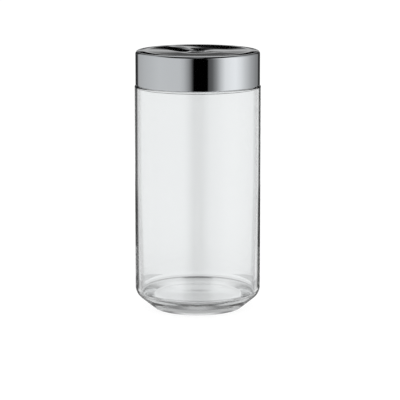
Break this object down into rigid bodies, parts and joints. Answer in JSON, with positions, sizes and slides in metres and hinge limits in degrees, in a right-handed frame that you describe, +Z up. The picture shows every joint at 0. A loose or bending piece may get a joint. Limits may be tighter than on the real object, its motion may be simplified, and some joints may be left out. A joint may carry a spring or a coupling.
{
  "type": "lidded glass canister",
  "caption": "Straight clear glass jar with a slanted heel and a thick base, closed by a tall push-on polished steel lid with a shallow dished top.",
  "frame": {"origin": "centre of the foot, on the surface that the jar stands on", "axes": "+Z up along the jar's axis, from the foot to the lid; the shape is the same all round, so +X and +Y are free"},
  "size_m": [0.105, 0.105, 0.2169],
  "materials": {
    "clear_glass": "clear, fire polished",
    "polished_steel": "mirror polished stainless steel",
    "liner_plastic": "moulded, fine satin",
    "seal_silicone": "soft translucent silicone"
  },
  "bodies": {
    "jar": {"glass_jar": "clear_glass"},
    "lid": {"lid_shell": "polished_steel", "lid_liner": "liner_plastic", "seal_ring": "seal_silicone"}
  },
  "joints": [
    {"name": "lid_lift", "type": "slide", "parent": "jar", "child": "lid", "axis": [0, 0, 1], "range_m": [0, 0.1]}
  ]
}
